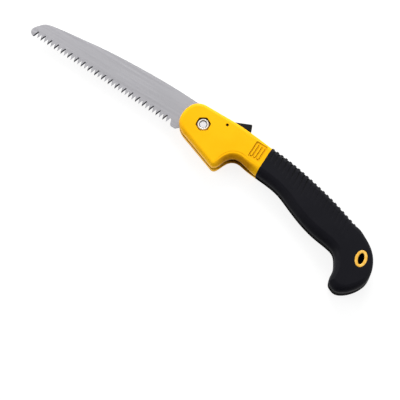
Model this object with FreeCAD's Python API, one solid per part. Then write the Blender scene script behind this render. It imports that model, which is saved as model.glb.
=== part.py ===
import FreeCAD, Part
import math
import os
from FreeCAD import Vector

os.makedirs("parts", exist_ok=True)

# Folding pruning saw, open, lying on its right side. Millimetres.
# Working frame: pivot axis at the origin, mid-plane of the blade at z = 0,
# +X toward the butt of the handle, +Y toward the back, +Z toward the left side.
# Every piece is moved at the end so that the box of the whole saw stands on
# z = 0 with its middle at x = y = 0.

# ---- handle ----
HALF_H = 11.0            # half thickness of head and grip, both cheeks flat
EDGE_R = 4.0             # rounding between cheek and side wall
GRIP_X = 70.3            # yellow head in front of this plane, rubber behind it
SLOT_HALF = 1.6          # half width of the blade slot
CORE_H = 7.0             # half thickness of the hard core under the rubber

# ---- blade ----
BLADE_T = 1.4
TANG_R = 14.5            # round back of the tang, about the pivot
TOOTH_PITCH = 4.16
TOOTH_COUNT = 40
TOOTH_H = 5.6
FIRST_TOOTH_X = -196.8   # tooth nearest the tip of the blade
LAST_TOOTH_Y = -14.75    # tooth line at the heel
FIRST_TOOTH_Y = -9.15    # tooth line at the tip
BEVEL_W = 1.1            # width of the bevel ground on every tooth
FOLD_ANGLE = 165.0       # blade travel from open to folded, degrees

# ---- pivot ----
BOLT_R = 4.0             # M8
BUSH_R = 5.0
BUSH_HALF = 4.6
RUN_GAP = 0.05           # running clearance of the blade and the lever
NUT_AF = 13.0
NUT_H = 4.6
NUT_FACE_R = 5.3         # flat face left on top of the nut by its round crown
NUT_CROWN_H = 2.0
NUT_CORNER_R = 6.95      # the six corners are turned down to this radius
NUT_LEAD_IN = 0.35
BOLT_END_DROP = 0.9      # the bolt ends this far below the top of the nut
NUT_FLOOR = 5.6          # floor of the hex pocket, left side
POCKET_AF = 13.6
POCKET_CORNER_R = 2.6
HEX_TURN = 32.5          # direction of one nut corner, degrees
CBORE_R = 7.4            # round recess, right side
CBORE_FLOOR = 6.4
BOLT_HEAD_R = 6.4
BOLT_HEAD_H = 2.8
CROSS_L, CROSS_W, CROSS_DEPTH = 6.4, 1.3, 1.8
CROSS_TURN = 20.0
BOLT_WASHER_R = 7.0
BOLT_WASHER_T = 1.0
THRUST_R = 9.0

# ---- lock lever ----
PIN_X, PIN_Y, PIN_R = 20.5, 11.8, 1.5
PIN_HALF = 8.2
HUB_R = 3.6
ARM_HALF = 2.5           # half thickness of the lever arm
PAD_HALF = 4.5           # half thickness of the thumb pad
LEVER_GAP = 0.4
LATCH_ANGLE = 70.0       # place of the latch tooth about the pivot
LATCH_HALF_W = 1.8
LATCH_CLEAR = 0.35       # latch rides this far off the round tang
LATCH_DEPTH = 2.2        # depth of the two tang notches
NOTCH_HALF_W = 2.75
NOTCH_SHIFT = 0.35        # the latch moves sideways a little as it drops
SPRING_X, SPRING_R, SPRING_WIRE = 40.0, 2.1, 0.3
SPRING_Y0, SPRING_Y1, SPRING_TURNS = 8.5, 15.3, 5
# Arm of the lever behind its latch tooth, the thumb pad, and the room in the head for both.
LEVER_ARM = [(9, 17.4), (24.0, 18.2), (31, 18.6), (43.0, 18.0), (43.4, 14.2), (30, 13.4),
             (24, 10.6), (17.5, 10.2), (12.5, 12.4), (8.2, 14.2)]
LEVER_PAD = [(23.8, 15.2), (23.8, 20.2), (38.2, 26.6), (39.3, 27.2), (40.3, 26.8), (43.5, 18.6),
             (43.5, 14.6), (30, 14.2)]
PAD_EDGE_R = 0.8
ARM_ROOM = [(0.8, 60), (0.8, 12.4), (5.0, 10.8), (12, 9.8), (17, 8.2), (20.5, 7.5), (24.5, 8.4),
            (30, 9.8), (45.4, 9.8), (45.4, 60)]
PAD_ROOM = [(22.8, 60), (22.8, 12.8), (45.4, 10.0), (45.4, 60)]

# ---- lanyard eyelet and core screws ----
EYE_X, EYE_Y = 199.6, -34.2
EYE_LEAN = 13.0          # long axis leans from the Y axis, degrees
EYE_RIM = (6.2, 8.9)     # half width and half length
EYE_BARREL = (4.3, 7.0)
EYE_HOLE = (2.8, 5.6)
EYE_RIM_T = 2.0
SCREWS = ((80.0, 4.0), (119.0, -4.5), (157.0, -14.0), (184.0, -22.0), (203.6, -52.5))
SCREW_R, SCREW_HEAD_R, SCREW_HEAD_H = 1.75, 3.2, 2.2
SCREW_TIP = 5.0
SCREW_SLOT_L, SCREW_SLOT_W, SCREW_SLOT_DEPTH = 3.6, 0.8, 1.0

# ---- grip ribs ----
RIB_COUNT = 21
RIB_X0, RIB_PITCH = 71.6, 5.27
RIB_W = 2.1
RIB_H = 1.2
RIB_DROP = 0.12          # the ribs sink into the cheek this far below its face
GROOVE_W = 1.8
GROOVE_LEAN = 9.0        # lower ends of the cheek grooves lean toward the butt, degrees
CUT_GROOVES = 9          # the grooves nearest the head are cut deep, the others are shallow
GROOVE_DEPTH = (0.9, 0.4)
GROOVE_LENGTH = (11.5, 17.0)   # first deep one, every shallow one
GROOVE_GROWTH = 1.1      # each deep groove is this much longer than the one before
GROOVE_FADE = 0.06       # the groove floor ends this far above the cheek
GROOVE_START = 2.4       # upper ends of the grooves, below the back

# Back of the handle, from the end of the straight head to the last rib,
# then round the butt.
BACK = [(24, 19.2), (42, 18.3), (56, 17.0), (70, 15.3), (88, 13.6), (108, 10.4),
        (129, 5.9), (150, 0.6), (171, -6.1), (178, -8.4)]
BUTT = [(178, -8.4), (182, -8.7), (191.5, -12.7), (201.5, -18.9), (208, -25.5), (212.8, -34),
        (215.3, -44), (214.6, -53), (209.5, -63), (202, -70.6), (194, -73.8), (187, -71.4),
        (183.4, -65), (182.4, -57), (179, -49.4), (173.5, -42.8), (166, -40.2)]
BELLY = [(166, -40.2), (150, -37.8), (130, -32.4), (112, -25.2), (97, -19.4), (82, -16.9),
         (66.4, -15.3), (54.7, -13.3), (47.5, -12.4), (41.3, -15.0), (37.5, -20.4),
         (35.1, -26.5), (31.8, -30.8), (26.9, -30.8)]
FRONT = [(-3.2, -20.3), (-11.5, -17.4), (-18.4, -13.7), (-22.6, -8.1), (-24.0, 0),
         (-22.6, 8.1), (-18.6, 14.6), (-12.5, 18.2), (-8, 18.9)]
# Round shoulder between the left cheek and the side wall, along the belly and into the hook.
# Each row is one station: x, y, z of its lower edge, then x, y of its upper edge on the cheek.
SHOULDER = [(30.1, -33.4, 5.6, 27.5, -31.0), (35.1, -26.5, 6.2, 29.8, -24.6),
            (37.5, -20.4, 6.4, 32.0, -17.4), (41.3, -15.0, 6.4, 36.6, -10.0),
            (47.5, -12.4, 6.4, 45.8, -5.4), (54.7, -13.3, 6.4, 55.0, -5.6),
            (66.4, -15.3, 5.0, 66.5, -6.4), (82, -16.9, 4.0, 82, -7.0),
            (97, -19.4, 4.0, 97, -9.4), (112, -25.2, 4.0, 112, -14.2),
            (130, -32.4, 4.0, 130, -21.6), (150, -37.8, 4.0, 150, -27.0),
            (166, -40.2, 4.0, 166, -29.5), (173.5, -42.8, 4.0, 176.5, -33.5),
            (179, -49.4, 4.0, 184.5, -43.5), (182.4, -57, 4.2, 188, -54),
            (183.4, -65, 4.4, 188.6, -65), (187, -76, 4.6, 189.5, -76)]
BELOW_LIP = (0.25, 0.6, 1.0)   # the cutter goes on straight, outside the wall, in these steps
SHOULDER_END = 80.0      # slope of the shoulder where it meets the side wall, degrees
SHOULDER_ROOM = [(189.5, -95), (27.5, -95)]
# The same round the underside of the butt, from the tip of the hook to the back.
HEEL = [(176, -67.5, 5.2, 176, -60.0), (183, -69.5, 5.3, 183, -61.5),
        (188.5, -72.2, 5.5, 188.5, -63.6), (194, -73.8, 5.8, 194, -65.2),
        (202, -70.6, 6.0, 200.8, -62.6), (209.5, -63, 6.3, 205.6, -57.4),
        (214.6, -53, 6.8, 210.6, -50.4), (216.6, -44, 8.0, 214.2, -43.4),
        (218.8, -36, 9.5, 217.8, -36)]
HEEL_ROOM = [(245, -36), (245, -100), (176, -100)]
BADGE = (54.0, 66.5, -4.3, 13.4)     # blank recessed panel on each cheek: x and y from, to
BADGE_DEPTH = 0.9
BADGE_CORNER = 1.2
BAR_COUNT = 3            # plain raised bars on the left panel
BAR_X0, BAR_PITCH, BAR_W = 55.6, 3.6, 1.7
BAR_Y0, BAR_L = -2.2, 13.5
# Top of the hollow between the shells behind the finger notch.
THROAT = [(30, 1.6), (36, 4.4), (44, 5.6), (54, 5.6), (62, 4.0), (69, 1.6)]
THROAT_Y = -7.4
CORE_BACK = [(62, 12.0), (88, 10.0), (108, 6.9), (129, 2.4), (150, -2.9), (171, -9.5),
             (188, -14.6), (199, -21.5), (207.5, -31.5), (211, -44), (209, -55), (202, -65.5)]
CORE_BELLY = [(196, -62), (192, -52), (187, -42), (172, -32.5), (150, -29.2), (130, -24),
              (112, -16.6), (97, -11.4), (82, -8.6), (62, -6.8)]
SLOT_FLOOR = [(36.0, 7.2), (41.0, 7.0), (62, 1.0), (100, -10.2), (138.5, -21.2),
              (177.5, -32.4), (190, -36.0), (195.8, -40.4), (199.2, -45.6)]
SLOT_R = 204.4           # sweep of the blade tip
SPINE = [(-198.2, 3.4), (-193, 8.1), (-186, 10.1), (-160, 13.6), (-130, 17.0), (-100, 19.0),
         (-60, 20.1), (-20, 19.1)]


def p(x, y, z=0.0):
    return Vector(x, y, z)


def polar(radius, degrees, z=0.0):
    a = math.radians(degrees)
    return Vector(radius * math.cos(a), radius * math.sin(a), z)


def curve(points, z=0.0):
    spline = Part.BSplineCurve()
    spline.interpolate([p(x, y, z) for x, y in points])
    return spline.toShape()


def line(a, b):
    return Part.makeLine(a, b)


def solid_from(edges, z0, z1):
    face = Part.Face(Part.Wire(Part.sortEdges(edges)[0]))
    slab = face.extrude(Vector(0, 0, z1 - z0))
    slab.translate(Vector(0, 0, z0))
    return slab


def polygon(points, z0, z1):
    wire = Part.makePolygon([p(x, y) for x, y in points + [points[0]]])
    slab = Part.Face(wire).extrude(Vector(0, 0, z1 - z0))
    slab.translate(Vector(0, 0, z0))
    return slab


def rod(x, y, radius, z0, z1):
    return Part.makeCylinder(radius, z1 - z0, p(x, y, z0))


def oval(half_w, half_l, z0, z1):
    ellipse = Part.Ellipse(p(0, 0), half_l, half_w).toShape()
    slab = Part.Face(Part.Wire([ellipse])).extrude(Vector(0, 0, z1 - z0))
    slab.rotate(p(0, 0), Vector(0, 0, 1), 90.0 + EYE_LEAN)
    slab.translate(p(EYE_X, EYE_Y, z0))
    return slab


def hexagon(across_flats, z0, z1):
    corner = across_flats / math.sqrt(3.0)
    points = [polar(corner, HEX_TURN + 60.0 * i) for i in range(6)]
    return polygon([(v.x, v.y) for v in points], z0, z1)


def mirrored(shape):
    return shape.mirror(p(0, 0), Vector(0, 0, 1))


def outline_edges():
    return [line(p(*FRONT[-1]), p(*BACK[0])), curve(BACK), curve(BUTT), curve(BELLY),
            line(p(*BELLY[-1]), p(*FRONT[0])), curve(FRONT)]


def shoulder_points(stations, angle):
    """The stations at one slope of the shoulder: 0 is on the cheek, SHOULDER_END on the wall."""
    turn = math.radians(angle)
    end = math.radians(SHOULDER_END)
    out = math.sin(turn) / math.sin(end)
    down = (1.0 - math.cos(turn)) / (1.0 - math.cos(end))
    top = HALF_H + 0.01
    return [p(cx + (lx - cx) * out, cy + (ly - cy) * out, top + (lz - top) * down)
            for lx, ly, lz, cx, cy in stations]


def shoulder_wire(points, room):
    """Closed wire: the points joined by a smooth curve, then round the room outside them."""
    spline = Part.BSplineCurve()
    spline.interpolate(points)
    first, last = points[0], points[-1]
    climb = (first.z - last.z) / (len(room) - 1)
    corners = [last] + [p(x, y, last.z + climb * i) for i, (x, y) in enumerate(room)] + [first]
    return Part.Wire([spline.toShape()] + [line(a, b) for a, b in zip(corners, corners[1:])])


def shoulder_cutter(stations, room):
    """Everything outside a round shoulder."""
    rows = [shoulder_points(stations, SHOULDER_END * i / 6.0) for i in range(7)]
    inner, outer = rows[-2], rows[-1]
    for step in BELOW_LIP:
        rows.append([p(o.x + step * (o.x - i.x), o.y + step * (o.y - i.y), o.z - step * (o.z + 1.0))
                     for i, o in zip(inner, outer)])
    return Part.makeLoft([shoulder_wire(row, room) for row in rows], True, False)


def outer_half():
    """Left half of the whole handle as one block: flat cheek, round edges, round shoulder."""
    block = solid_from(outline_edges(), 0.0, HALF_H)
    rim = [e for e in block.Edges if abs(e.BoundBox.ZMin - HALF_H) < 1e-6]
    block = block.makeFillet(EDGE_R, rim)
    block = block.cut(shoulder_cutter(SHOULDER, SHOULDER_ROOM))
    return largest_solid(block.cut(shoulder_cutter(HEEL, HEEL_ROOM)))


def before_boundary():
    return Part.makeBox(GRIP_X + 60.0, 200, HALF_H + 1, p(-60, -100, 0))


def core_half():
    edges = [curve(CORE_BACK), line(p(*CORE_BACK[-1]), p(*CORE_BELLY[0])), curve(CORE_BELLY),
             line(p(*CORE_BELLY[-1]), p(*CORE_BACK[0]))]
    return solid_from(edges, 0.0, CORE_H)


def blade_slot():
    """Room for the blade and its tang, all the way from open to folded."""
    swing = Part.Arc(polar(SLOT_R, -12.9), polar(SLOT_R, -19.0), polar(SLOT_R, -26.0)).toShape()
    corners = [p(*SLOT_FLOOR[0]), p(34.5, 8.6), p(34.5, 60), p(-60, 60), p(-60, -120),
               p(180, -120), polar(SLOT_R, -26.0)]
    edges = [line(a, b) for a, b in zip(corners, corners[1:])]
    edges += [curve(SLOT_FLOOR), line(p(*SLOT_FLOOR[-1]), polar(SLOT_R, -12.9)), swing]
    return solid_from(edges, -1.0, SLOT_HALF)


def throat():
    """Hollow behind the finger notch, where the two shells stand apart."""
    roof = [p(x, THROAT_Y, z) for x, z in THROAT]
    spline = Part.BSplineCurve()
    spline.interpolate(roof)
    corners = [roof[-1], p(roof[-1].x, THROAT_Y, -1.0), p(roof[0].x, THROAT_Y, -1.0), roof[0]]
    edges = [spline.toShape()] + [line(a, b) for a, b in zip(corners, corners[1:])]
    return Part.Face(Part.Wire(edges)).extrude(Vector(0, -60, 0))


def lever_cavity():
    room = polygon(ARM_ROOM, -1.0, ARM_HALF + LEVER_GAP)
    room = room.fuse(polygon(PAD_ROOM, -1.0, PAD_HALF + LEVER_GAP))
    seat = Part.makeCylinder(SPRING_R + SPRING_WIRE + 0.4, 4.0, p(SPRING_X, SPRING_Y0 - 0.2, 0),
                             Vector(0, 1, 0))
    return room.fuse(seat)


def cover_half():
    """Hard yellow shell: the head, and the core that runs on under the rubber."""
    half = outer_half().common(before_boundary()).fuse(core_half())
    half = half.cut(blade_slot()).cut(throat()).cut(lever_cavity())
    half = half.cut(rod(0, 0, BUSH_R, -1, BUSH_HALF)).cut(rod(0, 0, BOLT_R + 0.1, -1, HALF_H + 1))
    half = half.cut(rod(PIN_X, PIN_Y, PIN_R, -1, HALF_H + 1))
    return half.cut(oval(*EYE_BARREL, -1, HALF_H + 1))


def badge_recess():
    x0, x1, y0, y1 = BADGE
    tray = Part.makeBox(x1 - x0, y1 - y0, BADGE_DEPTH + 1, p(x0, y0, HALF_H - BADGE_DEPTH))
    uprights = [e for e in tray.Edges if e.BoundBox.ZLength > 0.5 * BADGE_DEPTH]
    return tray.makeFillet(BADGE_CORNER, uprights)


def left_cover():
    pocket = hexagon(POCKET_AF, NUT_FLOOR, HALF_H + 1)
    pocket = pocket.makeFillet(POCKET_CORNER_R, [e for e in pocket.Edges if e.BoundBox.ZLength > 1])
    shell = cover_half().cut(pocket)
    panel = badge_recess()
    for i in range(BAR_COUNT):
        foot = p(BAR_X0 + BAR_PITCH * i, BAR_Y0, HALF_H - BADGE_DEPTH)
        panel = panel.cut(Part.makeBox(BAR_W, BAR_L, BADGE_DEPTH + 1, foot))
    shell = shell.cut(panel)
    for x, y in SCREWS:
        shell = shell.cut(rod(x, y, SCREW_R, -1, SCREW_TIP))
    return shell


def right_cover():
    shell = mirrored(cover_half())
    shell = shell.cut(rod(0, 0, CBORE_R, -HALF_H - 1, -CBORE_FLOOR))
    shell = shell.cut(mirrored(badge_recess()))
    for x, y in SCREWS:
        shell = shell.cut(rod(x, y, SCREW_R, -HALF_H, 1))
        shell = shell.cut(rod(x, y, SCREW_HEAD_R, -HALF_H, SCREW_HEAD_H - CORE_H))
    return shell


def back_height(x):
    """Height of the back of the grip at x, by straight steps between the outline points."""
    for (xa, ya), (xb, yb) in zip(BACK, BACK[1:]):
        if xa <= x <= xb:
            return ya + (yb - ya) * (x - xa) / (xb - xa)
    return BACK[-1][1]


def back_slope(x):
    return math.degrees(math.atan2(back_height(x + 4) - back_height(x - 4), 8.0))


def ribs():
    """Cross ribs: slices of a slightly larger grip, standing proud of the back."""
    low, high = [(x, y) for x, y in BACK if 60 < x], []
    for x, y in low:
        a = math.radians(back_slope(min(max(x, 65), 172)))
        high.append((x - RIB_H * math.sin(a), y + RIB_H * math.cos(a)))
    inner = [(x, y - 9.0) for x, y in reversed(low)]
    edges = [curve(high), line(p(*high[-1]), p(*inner[0])), curve(inner),
             line(p(*inner[-1]), p(*high[0]))]
    top = HALF_H - RIB_DROP
    block = solid_from(edges, 0.0, top)
    rim = [e for e in block.Edges if abs(e.BoundBox.ZMin - top) < 1e-6
           and e.BoundBox.YMax > 15.9 and e.BoundBox.XLength > 90]
    block = block.makeFillet(EDGE_R + RIB_H, rim)
    bars = []
    for i in range(RIB_COUNT):
        x = RIB_X0 + RIB_PITCH * i
        bar = Part.makeBox(RIB_W, 16, HALF_H + 2, p(-0.5 * RIB_W, -8, -1))
        bar.rotate(p(0, 0), Vector(0, 0, 1), back_slope(min(x, 172)))
        bar.translate(p(x, back_height(x) - 1.0))
        bars.append(bar)
    return block.common(Part.makeCompound(bars))


def cheek_grooves():
    """Grooves between the ribs, running down the cheek and fading out to nothing."""
    tools = []
    for i in range(RIB_COUNT - 1):
        x = RIB_X0 + RIB_PITCH * (i + 0.5)
        deep = i < CUT_GROOVES
        depth = GROOVE_DEPTH[0] if deep else GROOVE_DEPTH[1]
        length = GROOVE_LENGTH[0] + GROOVE_GROWTH * i if deep else GROOVE_LENGTH[1]
        side = [p(-0.5 * GROOVE_W, 0.5, -depth), p(-0.5 * GROOVE_W, -length, GROOVE_FADE),
                p(-0.5 * GROOVE_W, -length, 2), p(-0.5 * GROOVE_W, 0.5, 2)]
        tool = Part.Face(Part.makePolygon(side + [side[0]])).extrude(Vector(GROOVE_W, 0, 0))
        tool.rotate(p(0, 0), Vector(0, 0, 1), GROOVE_LEAN)
        tool.translate(p(x, back_height(x) - GROOVE_START, HALF_H))
        tools.append(tool)
    return Part.makeCompound(tools)


def grip_half():
    """Soft rubber skin over the core."""
    skin = outer_half().cut(before_boundary())
    skin = skin.fuse(ribs().cut(before_boundary())).cut(cheek_grooves())
    skin = skin.cut(core_half()).cut(blade_slot())
    skin = skin.cut(oval(*EYE_BARREL, -1, HALF_H + 1))
    return skin.cut(oval(*EYE_RIM, HALF_H - 0.1 - EYE_RIM_T, HALF_H + 1))


def largest_solid(shape):
    return max(shape.Solids, key=lambda s: s.Volume)


def left_grip():
    return largest_solid(grip_half())


def right_grip():
    return largest_solid(mirrored(grip_half()))


def tooth_line(x):
    t = (x - FIRST_TOOTH_X) / (TOOTH_PITCH * (TOOTH_COUNT - 1))
    return FIRST_TOOTH_Y + (LAST_TOOTH_Y - FIRST_TOOTH_Y) * t


def latch_notch(degrees):
    r0, r1 = TANG_R - LATCH_DEPTH, TANG_R + 3.0
    a = p(r0, -NOTCH_SHIFT - NOTCH_HALF_W)
    slot = Part.makeBox(r1 - r0, 2 * NOTCH_HALF_W, BLADE_T + 2, a + Vector(0, 0, -BLADE_T))
    slot.rotate(p(0, 0), Vector(0, 0, 1), degrees)
    return slot


def blade():
    """Flat blade with pointed teeth, a round tang and one latch notch for each end of travel."""
    half = 0.5 * BLADE_T
    teeth = [(FIRST_TOOTH_X - 1.2, tooth_line(FIRST_TOOTH_X) + 0.1)]
    for i in range(TOOTH_COUNT):
        x = FIRST_TOOTH_X + TOOTH_PITCH * i
        teeth.append((x, tooth_line(x)))
        teeth.append((x + 0.45 * TOOTH_PITCH, tooth_line(x) + TOOTH_H))
    heel = [(-31.3, -9.6), (-29.6, -14.4), (-28.2, -15.7), (-23.0, -15.8), (-21.0, -13.6),
            (-16.6, -10.4)]
    belly = [p(*c) for c in teeth + heel] + [polar(TANG_R, -127)]
    edges = [line(a, b) for a, b in zip(belly, belly[1:])]
    tang = Part.Arc(polar(TANG_R, -127), polar(TANG_R, -20), polar(TANG_R, 84)).toShape()
    back = curve([(-20, 19.1), (-12, 18.3), (-5, 16.2), (polar(TANG_R, 84).x, polar(TANG_R, 84).y)])
    nose = curve([(SPINE[0]), (-201.6, -1.0), (-202.6, -4.2), (-201.2, -7.4), teeth[0]])
    plate = solid_from(edges + [tang, back, curve(SPINE), nose], -half, half)
    plate = plate.cut(rod(0, 0, BUSH_R + RUN_GAP, -2, 2))
    plate = plate.cut(latch_notch(LATCH_ANGLE)).cut(latch_notch(LATCH_ANGLE - FOLD_ANGLE))
    return plate.cut(tooth_bevels())


def tooth_bevels():
    """Bevel on the cutting edge of every tooth, on the two faces by turns."""
    half = 0.5 * BLADE_T
    tools = []
    for i in range(TOOTH_COUNT):
        x = FIRST_TOOTH_X + TOOTH_PITCH * i
        y = tooth_line(x)
        side = 1 if i % 2 == 0 else -1
        section = [p(0.3, 0, side * (half + 0.01)), p(-BEVEL_W, 0, side * (half + 0.01)),
                   p(0.3, 0, side * (-half + 0.25))]
        face = Part.Face(Part.makePolygon(section + [section[0]]))
        tool = face.extrude(Vector(0.45 * TOOTH_PITCH, TOOTH_H, 0) * 1.35)
        tool.translate(p(x, y) - Vector(0.45 * TOOTH_PITCH, TOOTH_H, 0) * 0.15)
        tools.append(tool)
    return Part.makeCompound(tools)


def lock_lever():
    """Rocker on the cross pin: latch tooth in front, raised thumb pad behind."""
    out = polar(1.0, LATCH_ANGLE)
    side = polar(1.0, LATCH_ANGLE + 90.0)
    low = TANG_R + LATCH_CLEAR
    right_foot = out * low - side * LATCH_HALF_W
    left_foot = out * low + side * LATCH_HALF_W
    shoulder = out * 17.3 + side * LATCH_HALF_W
    arm = [(v.x, v.y) for v in (right_foot, left_foot, shoulder)] + LEVER_ARM
    lever = polygon(arm, -ARM_HALF, ARM_HALF).fuse(rod(PIN_X, PIN_Y, HUB_R, -ARM_HALF, ARM_HALF))
    block = polygon(LEVER_PAD, -PAD_HALF, PAD_HALF)
    rim = [e for e in block.Edges if e.BoundBox.ZLength < 0.01 and e.BoundBox.YMax > 20.3]
    block = block.makeFillet(PAD_EDGE_R, rim)
    lever = lever.fuse(block).cut(rod(PIN_X, PIN_Y, PIN_R + RUN_GAP, -8, 8))
    seat = Part.makeCylinder(SPRING_R + SPRING_WIRE + 0.2, SPRING_Y1 - 12.0 + 0.1,
                             p(SPRING_X, 12.0, 0), Vector(0, 1, 0))
    return lever.cut(seat)


def lever_pin():
    return rod(PIN_X, PIN_Y, PIN_R, -PIN_HALF, PIN_HALF)


def lever_spring():
    """Compression spring between its seat in the head and the thumb pad."""
    pitch = (SPRING_Y1 - SPRING_Y0 - 2 * SPRING_WIRE) / SPRING_TURNS
    helix = Part.makeHelix(pitch, pitch * SPRING_TURNS, SPRING_R)
    start = Part.Circle(p(SPRING_R, 0, 0), Vector(0, 1, 0), SPRING_WIRE).toShape()
    wire = Part.Wire([helix]).makePipeShell([Part.Wire([start])], True, True)
    wire.rotate(p(0, 0), Vector(1, 0, 0), -90)
    wire.translate(p(SPRING_X, SPRING_Y0 + SPRING_WIRE, 0))
    return wire


def pivot_bolt():
    """Pan head with a cross recess on the right, threaded end on the left."""
    under = -(CBORE_FLOOR + BOLT_WASHER_T)
    shank = rod(0, 0, BOLT_R, under, NUT_FLOOR + NUT_H - BOLT_END_DROP)
    end = [e for e in shank.Edges if abs(e.BoundBox.ZMin - shank.BoundBox.ZMax) < 1e-6]
    shank = shank.makeChamfer(0.7, end)
    head = rod(0, 0, BOLT_HEAD_R, under - BOLT_HEAD_H, under)
    top = [e for e in head.Edges if abs(e.BoundBox.ZMax - head.BoundBox.ZMin) < 1e-6]
    head = head.makeFillet(1.4, top)
    bolt = shank.fuse(head)
    for turn in (CROSS_TURN, CROSS_TURN + 90.0):
        foot = p(-0.5 * CROSS_L, -0.5 * CROSS_W, under - BOLT_HEAD_H - 0.1)
        cross = Part.makeBox(CROSS_L, CROSS_W, CROSS_DEPTH + 0.1, foot)
        cross.rotate(p(0, 0), Vector(0, 0, 1), turn)
        bolt = bolt.cut(cross)
    return bolt


def pivot_nut():
    """Hex nut with turned-down corners, a round crown and a lead-in at the thread."""
    top = NUT_FLOOR + NUT_H
    nut = hexagon(NUT_AF, NUT_FLOOR, top)
    crown = Part.makeCone(NUT_CORNER_R, NUT_FACE_R, NUT_CROWN_H, p(0, 0, top - NUT_CROWN_H))
    nut = nut.common(crown.fuse(rod(0, 0, NUT_CORNER_R, NUT_FLOOR, top - NUT_CROWN_H)))
    nut = nut.cut(rod(0, 0, BOLT_R, 0, HALF_H + 1))
    return nut.cut(Part.makeCone(BOLT_R, BOLT_R + NUT_LEAD_IN, NUT_LEAD_IN, p(0, 0, top - NUT_LEAD_IN)))


def ring(outer, inner, z0, z1):
    return rod(0, 0, outer, z0, z1).cut(rod(0, 0, inner, z0 - 1, z1 + 1))


def bolt_washer():
    return ring(BOLT_WASHER_R, BOLT_R + 0.1, -CBORE_FLOOR - BOLT_WASHER_T, -CBORE_FLOOR)


def pivot_bushing():
    return ring(BUSH_R, BOLT_R + 0.1, -BUSH_HALF, BUSH_HALF)


def left_thrust_washer():
    return ring(THRUST_R, BUSH_R, 0.5 * BLADE_T + RUN_GAP, SLOT_HALF)


def right_thrust_washer():
    return mirrored(left_thrust_washer())


def lanyard_eyelet():
    """Oval sleeve right through the butt, with a rim on each cheek."""
    face = HALF_H - 0.1
    sleeve = oval(*EYE_BARREL, -face, face)
    for z0, z1 in ((face - EYE_RIM_T, face), (-face, EYE_RIM_T - face)):
        sleeve = sleeve.fuse(oval(*EYE_RIM, z0, z1))
    sleeve = sleeve.removeSplitter().cut(oval(*EYE_HOLE, -HALF_H - 1, HALF_H + 1))
    rims = [e for e in sleeve.Edges if abs(abs(e.BoundBox.Center.z) - face) < 1e-6]
    return sleeve.makeFillet(0.9, rims)


def core_screw(x, y):
    """Countersunk self-tapping screw, driven from the right before the rubber goes on."""
    seat = SCREW_HEAD_H - CORE_H
    head = Part.makeCone(SCREW_HEAD_R, SCREW_R, SCREW_HEAD_H - 0.4, p(x, y, -CORE_H + 0.2))
    screw = head.fuse(rod(x, y, SCREW_R, seat - 0.4, SCREW_TIP - 1.0))
    screw = screw.fuse(Part.makeCone(SCREW_R, 0.5, 1.0, p(x, y, SCREW_TIP - 1.0)))
    foot = p(x - 0.5 * SCREW_SLOT_L, y - 0.5 * SCREW_SLOT_W, -CORE_H)
    return screw.cut(Part.makeBox(SCREW_SLOT_L, SCREW_SLOT_W, SCREW_SLOT_DEPTH, foot))


def build():
    pieces = {
        "blade": blade(),
        "left_cover": left_cover(),
        "right_cover": right_cover(),
        "left_grip": left_grip(),
        "right_grip": right_grip(),
        "pivot_bolt": pivot_bolt(),
        "pivot_nut": pivot_nut(),
        "bolt_washer": bolt_washer(),
        "pivot_bushing": pivot_bushing(),
        "left_thrust_washer": left_thrust_washer(),
        "right_thrust_washer": right_thrust_washer(),
        "lock_lever": lock_lever(),
        "lever_pin": lever_pin(),
        "lever_spring": lever_spring(),
        "lanyard_eyelet": lanyard_eyelet(),
    }
    for i, (x, y) in enumerate(SCREWS):
        pieces["core_screw_%d" % (i + 1)] = core_screw(x, y)
    return pieces


def place_and_export(pieces):
    box = Part.makeCompound(list(pieces.values())).optimalBoundingBox(True, False)
    shift = Vector(-box.Center.x, -box.Center.y, HALF_H)
    print("size", round(box.XLength, 2), round(box.YLength, 2), round(box.ZLength, 2))
    print("pivot at", round(shift.x, 3), round(shift.y, 3), round(shift.z, 3))
    for name, shape in pieces.items():
        solid = largest_solid(shape)
        solid.translate(shift)
        solid.exportStep("parts/" + name + ".step")
        b = solid.BoundBox
        print("%-20s ok=%s n=%d vol=%8.1f  x %.1f..%.1f y %.1f..%.1f z %.1f..%.1f" % (
            name, solid.isValid(), len(shape.Solids), solid.Volume, b.XMin, b.XMax, b.YMin, b.YMax,
            b.ZMin, b.ZMax))


place_and_export(build())
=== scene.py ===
import math

import bpy
from mathutils import Matrix, Vector


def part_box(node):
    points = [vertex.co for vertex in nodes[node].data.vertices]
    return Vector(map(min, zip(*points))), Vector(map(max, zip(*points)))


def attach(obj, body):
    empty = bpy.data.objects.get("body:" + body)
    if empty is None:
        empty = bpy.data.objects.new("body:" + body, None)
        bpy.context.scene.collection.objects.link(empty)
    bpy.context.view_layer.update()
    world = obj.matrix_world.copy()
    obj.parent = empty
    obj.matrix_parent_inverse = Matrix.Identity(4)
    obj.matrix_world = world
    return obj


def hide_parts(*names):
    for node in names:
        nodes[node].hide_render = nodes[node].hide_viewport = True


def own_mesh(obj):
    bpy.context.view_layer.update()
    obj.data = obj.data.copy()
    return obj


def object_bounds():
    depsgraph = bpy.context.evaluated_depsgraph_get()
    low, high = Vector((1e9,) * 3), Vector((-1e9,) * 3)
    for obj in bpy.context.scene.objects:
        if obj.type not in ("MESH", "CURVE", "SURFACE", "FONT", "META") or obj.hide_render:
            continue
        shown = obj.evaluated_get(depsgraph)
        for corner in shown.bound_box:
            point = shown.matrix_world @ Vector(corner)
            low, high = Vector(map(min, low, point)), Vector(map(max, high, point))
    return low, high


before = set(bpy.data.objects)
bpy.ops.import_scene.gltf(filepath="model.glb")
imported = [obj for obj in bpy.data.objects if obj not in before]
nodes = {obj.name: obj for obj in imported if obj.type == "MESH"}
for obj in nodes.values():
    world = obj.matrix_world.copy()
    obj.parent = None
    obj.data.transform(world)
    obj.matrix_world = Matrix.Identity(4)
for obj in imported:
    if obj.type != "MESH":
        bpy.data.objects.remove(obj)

CAD_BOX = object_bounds()
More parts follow.
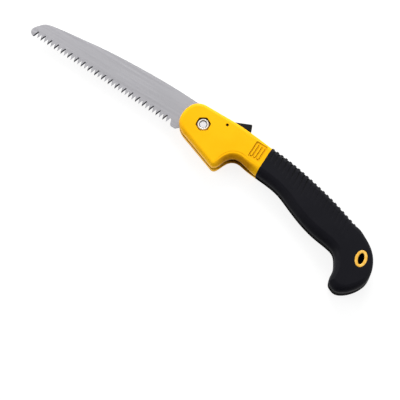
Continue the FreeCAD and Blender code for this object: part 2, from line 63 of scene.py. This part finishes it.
scene = bpy.context.scene

# The pivot axis is the axis of the bolt.
bolt_lo, bolt_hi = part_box("pivot_bolt")
PIVOT = 0.5 * (bolt_lo + bolt_hi)
TOP_Z = CAD_BOX[1].z
MID_Z = 0.5 * (CAD_BOX[0].z + CAD_BOX[1].z)
NOTCH = Vector((0.046, -0.008, 0.008))      # middle of the finger notch, from the pivot


# ---------------------------------------------------------------- colours and node graphs
def linear(r, g, b):
    """A display colour, 0 to 255, as linear light."""
    out = []
    for c in (r, g, b):
        c = c / 255.0
        out.append(c / 12.92 if c <= 0.04045 else ((c + 0.055) / 1.055) ** 2.4)
    return (*out, 1.0)


class Graph:
    """Short hand for building one material's nodes."""

    def __init__(self, name):
        self.mat = bpy.data.materials.new(name)
        self.mat.use_nodes = True
        self.tree = self.mat.node_tree
        self.shader = self.tree.nodes["Principled BSDF"]
        self.coord = self.node("ShaderNodeTexCoord").outputs["Object"]

    def put(self, node, key, value):
        socket = node.inputs[key]
        if isinstance(value, bpy.types.NodeSocket):
            self.tree.links.new(value, socket)
        else:
            socket.default_value = value

    def node(self, kind, props=None, **inputs):
        made = self.tree.nodes.new(kind)
        for key, value in (props or {}).items():
            setattr(made, key, value)
        for key, value in inputs.items():
            self.put(made, key.replace("_", " "), value)
        return made

    def math(self, op, a, b=0.0, c=0.0, clamp=False):
        made = self.node("ShaderNodeMath", {"operation": op, "use_clamp": clamp})
        for i, value in enumerate((a, b, c)):
            self.put(made, i, value)
        return made.outputs[0]

    def scaled(self, scale, turn=0.0):
        """Object coordinates, stretched and turned about Z."""
        made = self.node("ShaderNodeMapping", Vector=self.coord, Scale=scale)
        made.inputs["Rotation"].default_value = (0.0, 0.0, math.radians(turn))
        return made.outputs[0]

    def noise(self, scale, detail=2.0, rough=0.5, vector=None):
        made = self.node("ShaderNodeTexNoise", Vector=vector or self.coord, Scale=scale, Detail=detail,
                         Roughness=rough)
        return made.outputs["Fac"]

    def ramp(self, value, low, high, a=0.0, b=1.0):
        """value from low..high to a..b, clamped and eased."""
        made = self.node("ShaderNodeMapRange", {"interpolation_type": "SMOOTHSTEP"}, Value=value)
        for key, number in (("From Min", low), ("From Max", high), ("To Min", a), ("To Max", b)):
            made.inputs[key].default_value = number
        return made.outputs["Result"]

    def mix(self, factor, a, b):
        made = self.node("ShaderNodeMix", {"data_type": "RGBA"})
        self.put(made, 0, factor)
        self.put(made, 6, a)
        self.put(made, 7, b)
        return made.outputs[2]

    def edges(self, radius):
        """0 on open surface to 1 on a sharp outer or inner edge."""
        soft = self.node("ShaderNodeBevel", {"samples": 6}, Radius=radius).outputs[0]
        hard = self.node("ShaderNodeNewGeometry").outputs["Normal"]
        dot = self.node("ShaderNodeVectorMath", {"operation": "DOT_PRODUCT"})
        self.put(dot, 0, soft)
        self.put(dot, 1, hard)
        return self.ramp(dot.outputs["Value"], 0.995, 0.88)

    def hollow(self, distance):
        """1 in the open to 0 deep in a corner."""
        made = self.node("ShaderNodeAmbientOcclusion", {"samples": 8}, Distance=distance)
        return made.outputs["AO"]

    def inward(self):
        """1 on faces that look toward the mid-plane of the saw, 0 on the others."""
        facing = self.node("ShaderNodeSeparateXYZ", Vector=self.node("ShaderNodeNewGeometry").outputs["True Normal"])
        place = self.node("ShaderNodeSeparateXYZ", Vector=self.coord)
        side = self.math("SIGN", self.math("SUBTRACT", place.outputs["Z"], MID_Z))
        return self.ramp(self.math("MULTIPLY", facing.outputs["Z"], side), -0.02, -0.3)

    def finish(self, color, rough, heights, radius=0.00025, **fixed):
        """heights is a list of (height socket, strength, distance in metres), coarse to fine."""
        self.put(self.shader, "Base Color", color)
        self.put(self.shader, "Roughness", rough)
        normal = self.node("ShaderNodeBevel", {"samples": 6}, Radius=radius).outputs[0]
        for height, strength, distance in heights:
            bump = self.node("ShaderNodeBump", Height=height, Strength=strength, Distance=distance,
                             Normal=normal)
            normal = bump.outputs[0]
        self.put(self.shader, "Normal", normal)
        for key, value in fixed.items():
            self.shader.inputs[key.replace("_", " ")].default_value = value
        return self.mat


# ---------------------------------------------------------------- materials
NOTCH_SHADE_RADII = (0.028, 0.013)      # painted shade on the notch's slopes grows from the first to the second distance off the notch


def moulded_plastic(name, face, pale, deep, rough, grain=0.35, gloss=0.2, inward_shade_tone=None, notch=None):
    """Injection-moulded plastic: spark-eroded grain, slow tone changes, edges lightened as partly rubbed wear and
    partly painted highlight, painted shade in corners and recesses.
    """
    g = Graph(name)
    cloud = g.noise(24.0, 3.0)
    patch = g.noise(170.0, 4.0, 0.6)
    color = g.mix(g.ramp(cloud, 0.35, 0.68), face, pale)
    color = g.mix(g.ramp(patch, 0.56, 0.74, 0.0, 0.35), color, pale)
    # Edges lightened toward pale: partly rubbed wear, partly painted highlight.
    edge_wear_and_highlight = g.math("MULTIPLY", g.edges(0.0006), g.ramp(patch, 0.38, 0.6, 0.25, 0.9))
    color = g.mix(edge_wear_and_highlight, color, pale)
    # Painted shade: corners, slots and small recesses are darkened toward the deep tone.
    shade = g.ramp(g.hollow(0.006), 0.62, 0.1, 0.0, 0.92)
    shade = g.math("MAXIMUM", shade, g.ramp(g.hollow(0.0016), 0.80, 0.30, 0.0, 0.85))
    color = g.mix(shade, color, deep)
    # Painted shade on the slopes of the finger notch, darkened toward the notch tone.
    if notch:
        place, notch_shade_tone = notch
        away = g.node("ShaderNodeVectorMath", {"operation": "DISTANCE"})
        g.put(away, 0, g.coord)
        g.put(away, 1, place)
        slope = g.node("ShaderNodeSeparateXYZ", Vector=g.node("ShaderNodeNewGeometry").outputs["Normal"])
        slope = g.ramp(g.math("ABSOLUTE", slope.outputs["Z"]), 1.0, 0.90)
        notch_shade = g.math("MULTIPLY", slope, g.ramp(away.outputs["Value"], *NOTCH_SHADE_RADII, 0.0, 0.9))
        color = g.mix(g.math("MULTIPLY", notch_shade, g.ramp(patch, 0.2, 0.6, 0.75, 1.0)), color, notch_shade_tone)
    # Painted shade on faces that look toward the mid-plane and sit in hollows.
    if inward_shade_tone:
        inward_shade = g.math("MULTIPLY", g.inward(), g.ramp(g.hollow(0.012), 0.80, 0.50))
        color = g.mix(inward_shade, color, inward_shade_tone)
    scuff_a = g.noise(1.0, 2.0, 0.6, g.scaled((45.0, 1900.0, 400.0), 28.0))
    scuff_b = g.noise(1.0, 2.0, 0.6, g.scaled((60.0, 2300.0, 400.0), -47.0))
    scuffs = g.math("MAXIMUM", g.ramp(scuff_a, 0.67, 0.74), g.ramp(scuff_b, 0.69, 0.76))
    grain_height = g.noise(4200.0, 2.0, 0.6)
    r = g.math("ADD", g.ramp(patch, 0.3, 0.7, rough - 0.04, rough + 0.07), g.math("MULTIPLY", scuffs, 0.12))
    r = g.math("ADD", r, g.math("MULTIPLY", edge_wear_and_highlight, -0.06), clamp=True)
    sink = g.noise(38.0, 1.0)
    return g.finish(color, r, [(sink, 0.35, 0.0006), (scuffs, 0.15, 0.00002), (grain_height, grain, 0.00005)],
                    IOR=1.5, Specular_IOR_Level=gloss)


LIP_HIGHLIGHT_START = (0.0044, 0.0050)       # the painted highlight line along a lip begins here, from the mid-plane
LIP_HIGHLIGHT_END = (0.0062, 0.0054)   # and fades out here


def soft_rubber(name, level, sharp):
    """Over-moulded grip rubber: matte pebble grain, greyer where hands rub it; painted shade in grooves, and the
    side wall between the lips painted black as painted shade with a painted highlight line along each lip.

    level scales the colour, and a low level makes a darker copy as painted shade; sharp is the index of refraction
    that sets the gloss.
    """
    def tone(r, g, b):
        return (level * r, level * g, level * b, 1)

    g = Graph(name)
    cloud = g.noise(30.0, 3.0)
    patch = g.noise(210.0, 4.0, 0.6)
    color = g.mix(g.ramp(cloud, 0.3, 0.7), tone(0.0027, 0.0027, 0.0060), tone(0.0046, 0.0045, 0.0084))
    edge_wear_and_highlight = g.math("MULTIPLY", g.edges(0.0009), g.ramp(patch, 0.35, 0.62, 0.3, 1.0))
    color = g.mix(g.math("MULTIPLY", edge_wear_and_highlight, 0.5), color, tone(0.014, 0.014, 0.017))
    # Painted shade in grooves and corners, darkened nearly to black.
    shade = g.ramp(g.hollow(0.003), 0.92, 0.50, 0.0, 0.9)
    color = g.mix(shade, color, tone(0.0004, 0.0004, 0.0006))
    # Painted shade: the side wall between the two lips is painted black, with a painted highlight line along each
    # lip.
    up = g.node("ShaderNodeSeparateXYZ", Vector=g.coord).outputs["Z"]
    up = g.math("ABSOLUTE", g.math("SUBTRACT", up, MID_Z))
    color = g.mix(g.ramp(up, 0.0050, 0.0044), color, tone(0.0003, 0.0003, 0.0004))
    lip_highlight = g.math("MULTIPLY", g.ramp(up, *LIP_HIGHLIGHT_START), g.ramp(up, *LIP_HIGHLIGHT_END))
    color = g.mix(g.math("MULTIPLY", lip_highlight, g.ramp(patch, 0.3, 0.6, 0.5, 1.0)), color, tone(0.020, 0.020, 0.024))
    dust = g.ramp(g.noise(900.0, 5.0, 0.7), 0.58, 0.78, 0.0, 0.4)
    color = g.mix(g.math("MULTIPLY", dust, g.ramp(cloud, 0.4, 0.7)), color, tone(0.016, 0.0155, 0.015))
    pebble = g.node("ShaderNodeTexVoronoi", {"feature": "SMOOTH_F1"}, Vector=g.coord, Scale=1900.0)
    grain = g.noise(5200.0, 2.0, 0.6)
    r = g.ramp(patch, 0.3, 0.7, 0.47, 0.59)
    r = g.math("ADD", r, g.math("MULTIPLY", edge_wear_and_highlight, -0.12))
    r = g.math("MAXIMUM", r, g.ramp(up, 0.0052, 0.0046, 0.0, 0.95))
    return g.finish(color, r, [(pebble.outputs["Distance"], 0.30, 0.00007), (grain, 0.35, 0.00004)],
                    radius=0.0004, IOR=sharp, Sheen_Weight=0.01, Sheen_Roughness=0.5)


def ground_steel():
    """Blade steel: fine grinding lines along the blade, cutting bevels painted dark as painted shade."""
    g = Graph("ground_blade_steel")
    lines = g.noise(1.0, 3.0, 0.65, g.scaled((22.0, 5200.0, 22.0), -3.0))
    broad = g.noise(1.0, 2.0, 0.5, g.scaled((9.0, 420.0, 9.0), -3.0))
    cloud = g.noise(16.0, 3.0)
    color = g.mix(g.ramp(lines, 0.3, 0.7), (0.372, 0.366, 0.388, 1), (0.440, 0.434, 0.458, 1))
    color = g.mix(g.ramp(cloud, 0.35, 0.7, 0.0, 0.5), color, (0.395, 0.392, 0.410, 1))
    # Painted shade: faces that are neither flat nor upright, the tooth bevels, are painted nearly black.
    normal = g.node("ShaderNodeNewGeometry").outputs["True Normal"]
    flat = g.node("ShaderNodeSeparateXYZ", Vector=normal).outputs["Z"]
    flat = g.math("ABSOLUTE", flat)
    tooth_bevel_shade = g.math("MULTIPLY", g.ramp(flat, 0.985, 0.95), g.ramp(flat, 0.05, 0.15))
    color = g.mix(tooth_bevel_shade, color, (0.050, 0.051, 0.057, 1))
    spots = g.ramp(g.noise(520.0, 5.0, 0.7), 0.70, 0.80, 0.0, 0.35)
    color = g.mix(spots, color, (0.30, 0.28, 0.25, 1))
    r = g.math("ADD", g.ramp(lines, 0.25, 0.75, 0.33, 0.43), g.ramp(broad, 0.3, 0.7, -0.03, 0.04))
    return g.finish(color, r, [(broad, 0.10, 0.00003), (lines, 0.30, 0.000012)], radius=0.00012,
                    Metallic=1.0)


def plated_metal(name, bright, dark, rough):
    """Zinc-plated steel: soft clouded plating, painted shade where parts meet."""
    g = Graph(name)
    patch = g.noise(420.0, 4.0, 0.6)
    color = g.mix(g.ramp(patch, 0.35, 0.75), bright, dark)
    # Painted shade in corners and where parts meet.
    shade = g.ramp(g.hollow(0.0012), 0.75, 0.30, 0.0, 0.95)
    color = g.mix(shade, color, (0.020, 0.014, 0.010, 1))
    r = g.ramp(patch, 0.3, 0.7, rough, rough + 0.12)
    fine = g.noise(3000.0, 3.0, 0.6)
    return g.finish(color, r, [(patch, 0.10, 0.00002), (fine, 0.10, 0.00001)], radius=0.0004, Metallic=1.0)


def eyelet_gold():
    """Lacquered eyelet: painted highlight on the rims, painted shade where it meets other parts and on the barrel
    inside.
    """
    g = Graph("eyelet_gold")
    patch = g.noise(300.0, 4.0, 0.6)
    color = g.mix(g.ramp(patch, 0.35, 0.7), linear(236, 176, 50), linear(250, 200, 92))
    # Painted highlight: the rims are lightened toward a pale gold.
    edge_wear_and_highlight = g.math("MULTIPLY", g.edges(0.0007), g.ramp(patch, 0.4, 0.6, 0.3, 0.9))
    color = g.mix(edge_wear_and_highlight, color, linear(255, 232, 160))
    # Painted shade in corners.
    shade = g.ramp(g.hollow(0.0022), 0.92, 0.50, 0.0, 0.9)
    color = g.mix(shade, color, linear(88, 40, 8))
    # Painted shade: the upright barrel walls are painted nearly black.
    facing = g.node("ShaderNodeNewGeometry").outputs["True Normal"]
    facing = g.math("ABSOLUTE", g.node("ShaderNodeSeparateXYZ", Vector=facing).outputs["Z"])
    color = g.mix(g.ramp(facing, 0.35, 0.12), color, linear(16, 8, 6))
    fine = g.noise(2600.0, 3.0, 0.6)
    return g.finish(color, g.ramp(patch, 0.3, 0.7, 0.26, 0.38), [(fine, 0.15, 0.00001)], radius=0.0003,
                    IOR=1.5, Specular_IOR_Level=0.5)


# The third colour, the inward tone and the notch tone are painted shade.
YELLOW = moulded_plastic("head_yellow", linear(252, 183, 1), linear(252, 190, 8), linear(84, 30, 2), 0.42,
                         gloss=0.08, inward_shade_tone=linear(62, 20, 5),
                         notch=(PIVOT + NOTCH, linear(176, 116, 0)))
RUBBER = soft_rubber("grip_rubber", 0.85, 1.22)
# A darker copy of the grip rubber for the lower grip: painted shade.
SHADED_RUBBER = soft_rubber("grip_rubber_painted_shade", 0.5, 1.10)
STEEL = ground_steel()
LEVER = moulded_plastic("lever_black", (0.0045, 0.0045, 0.0052, 1), (0.009, 0.009, 0.0105, 1),
                        (0.001, 0.001, 0.001, 1), 0.42, 0.5, gloss=0.12)
GOLD = eyelet_gold()
NUT_ZINC = plated_metal("nut_zinc", (0.86, 0.83, 0.78, 1), (0.72, 0.69, 0.64, 1), 0.34)
BOLT_ZINC = plated_metal("bolt_zinc", (0.76, 0.74, 0.75, 1), (0.64, 0.62, 0.63, 1), 0.40)
DARK_STEEL = plated_metal("dark_steel", (0.045, 0.040, 0.036, 1), (0.020, 0.017, 0.015, 1), 0.45)

FINISH = {
    "blade": STEEL, "left_cover": YELLOW, "right_cover": YELLOW, "left_grip": RUBBER, "right_grip": SHADED_RUBBER,
    "lock_lever": LEVER, "lanyard_eyelet": GOLD, "lever_pin": DARK_STEEL, "lever_spring": DARK_STEEL,
    "pivot_nut": NUT_ZINC,
}
for name, node in nodes.items():
    finish = FINISH.get(name, BOLT_ZINC)
    node.data.materials.clear()
    node.data.materials.append(finish)

# A copy of the coil spring rides with the handle, and stands on the floor of its seat.
spring_lo, spring_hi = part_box("lever_spring")
coil = bpy.data.objects.new("lever_coil", nodes["lever_spring"].data.copy())
scene.collection.objects.link(coil)
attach(coil, "handle")
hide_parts("lever_spring")
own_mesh(coil)


# ---------------------------------------------------------------- floor, light and camera
FLOOR_GLOW = 0.84         # a light table: its own glow thins the shadows; under the eyelet the floor is painted dark and does not glow, as painted shade seen through the hole
EYELET_FLOOR_SHADE = (0.009, 0.011)     # painted shade: the floor is dark within the first distance from the middle of the eyelet, and the glow returns by the second
FLOOR_HALF = 12.0
FLOOR_DROP = 0.0002


def floor_material():
    g = Graph("studio_floor")
    tone = g.ramp(g.noise(1.2, 2.0), 0.3, 0.7)
    color = g.mix(tone, (0.21, 0.21, 0.21, 1), (0.23, 0.23, 0.23, 1))
    eyelet_lo, eyelet_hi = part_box("lanyard_eyelet")
    away = g.node("ShaderNodeVectorMath", {"operation": "DISTANCE"})
    g.put(away, 0, g.coord)
    g.put(away, 1, 0.5 * (eyelet_lo + eyelet_hi) * Vector((1, 1, 0)))
    # Painted shade: under the eyelet the floor is dark and does not glow.
    beyond_eyelet_shade = g.ramp(away.outputs["Value"], *EYELET_FLOOR_SHADE)
    g.put(g.shader, "Base Color", g.mix(beyond_eyelet_shade, (0.02, 0.02, 0.02, 1), color))
    g.put(g.shader, "Emission Color", g.mix(beyond_eyelet_shade, (0, 0, 0, 1), (1, 1, 1, 1)))
    g.shader.inputs["Emission Strength"].default_value = FLOOR_GLOW
    g.shader.inputs["Roughness"].default_value = 0.9
    g.shader.inputs["Specular IOR Level"].default_value = 0.1
    return g.mat


corners = [(-FLOOR_HALF, -FLOOR_HALF), (FLOOR_HALF, -FLOOR_HALF), (FLOOR_HALF, FLOOR_HALF),
           (-FLOOR_HALF, FLOOR_HALF)]
floor_mesh = bpy.data.meshes.new("floor")
floor_mesh.from_pydata([(x, y, CAD_BOX[0].z - FLOOR_DROP) for x, y in corners], [], [(0, 1, 2, 3)])
floor_mesh.materials.append(floor_material())
floor = bpy.data.objects.new("floor", floor_mesh)
scene.collection.objects.link(floor)


def softbox(name, place, size, energy):
    """An area light aimed at the origin."""
    light = bpy.data.lights.new(name, "AREA")
    light.shape = "RECTANGLE"
    light.size, light.size_y = size
    light.energy = energy
    lamp = bpy.data.objects.new(name, light)
    scene.collection.objects.link(lamp)
    lamp.location = place
    lamp.rotation_mode = "QUATERNION"
    lamp.rotation_quaternion = (-Vector(place)).to_track_quat("-Z", "Y")


CAM_TURN = math.radians(32.5)
CAM_TILT = math.radians(20.0)
CAM_DISTANCE = 1.5
CAM_SENSOR = 36.0
CAM_LENS = 137.75
CAM_SHIFT = (-0.008, -0.1903)
FAR_SIDE = Vector((-math.sin(CAM_TURN), math.cos(CAM_TURN), 0.0))      # level, away from the viewer

softbox("key_light", (-0.90, 1.80, 1.25), (1.5, 1.0), 44.0)
softbox("left_light", (-1.6, -0.7, 1.1), (1.4, 1.0), 12.0)
softbox("right_light", (1.7, 0.3, 1.2), (1.4, 1.0), 10.0)

# A studio that is bright on the far side and falls off overhead and toward the viewer.
SKY_NEAR = 0.10
SKY_FAR = 0.95
world = bpy.data.worlds.new("studio")
world.use_nodes = True
wt = world.node_tree

sky = wt.nodes.new("ShaderNodeTexCoord").outputs["Generated"]
along = wt.nodes.new("ShaderNodeVectorMath")
along.operation = "DOT_PRODUCT"
wt.links.new(sky, along.inputs[0])
along.inputs[1].default_value = FAR_SIDE
level = wt.nodes.new("ShaderNodeMapRange")
level.interpolation_type = "SMOOTHSTEP"
wt.links.new(along.outputs["Value"], level.inputs["Value"])
for key, number in (("From Min", -0.75), ("From Max", 0.75), ("To Min", SKY_NEAR), ("To Max", SKY_FAR)):
    level.inputs[key].default_value = number
wt.links.new(level.outputs["Result"], wt.nodes["Background"].inputs[1])
wt.nodes["Background"].inputs[0].default_value = (1.0, 1.0, 1.0, 1)
scene.world = world
scene.view_settings.view_transform = "Standard"

back = Vector((math.sin(CAM_TILT) * math.sin(CAM_TURN), -math.sin(CAM_TILT) * math.cos(CAM_TURN),
               math.cos(CAM_TILT)))
right = Vector((math.cos(CAM_TURN), math.sin(CAM_TURN), 0.0))
camera_data = bpy.data.cameras.new("camera")
camera = bpy.data.objects.new("camera", camera_data)
scene.collection.objects.link(camera)
target = Vector((PIVOT.x, PIVOT.y, TOP_Z))
turned = Matrix((right, back.cross(right), back)).transposed()
camera.matrix_world = Matrix.Translation(target + back * CAM_DISTANCE) @ turned.to_4x4()
camera_data.sensor_width = CAM_SENSOR
camera_data.lens = CAM_LENS
camera_data.shift_x, camera_data.shift_y = CAM_SHIFT
camera_data.clip_start = 0.05
camera_data.clip_end = 60.0
scene.camera = camera
